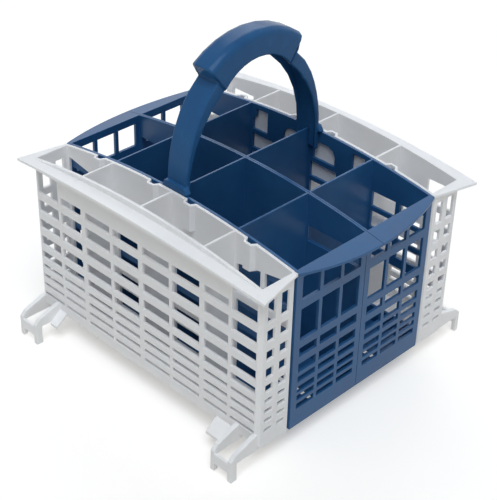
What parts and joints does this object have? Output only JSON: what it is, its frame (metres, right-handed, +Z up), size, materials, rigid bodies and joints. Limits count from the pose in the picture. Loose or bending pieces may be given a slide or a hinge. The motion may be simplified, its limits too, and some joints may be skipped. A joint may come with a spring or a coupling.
{
  "type": "dishwasher cutlery basket",
  "caption": "Open-lattice dishwasher cutlery basket: a two-half blue centre basket with an arched carrying handle and a pale clip-on side basket along each long side.",
  "frame": {"origin": "on the standing plane under the feet, at the middle of the basket's plan", "axes": "+X along the row of compartments, +Y across the three baskets, +Z up"},
  "size_m": [0.262, 0.253, 0.2595],
  "materials": {
    "blue_polypropylene": "satin moulded plastic",
    "pale_polypropylene": "satin moulded plastic"
  },
  "bodies": {
    "root": {"centre_half_front": "blue_polypropylene", "centre_half_rear": "blue_polypropylene", "handle": "blue_polypropylene", "side_basket_front": "pale_polypropylene", "side_basket_rear": "pale_polypropylene"}
  },
  "joints": []
}
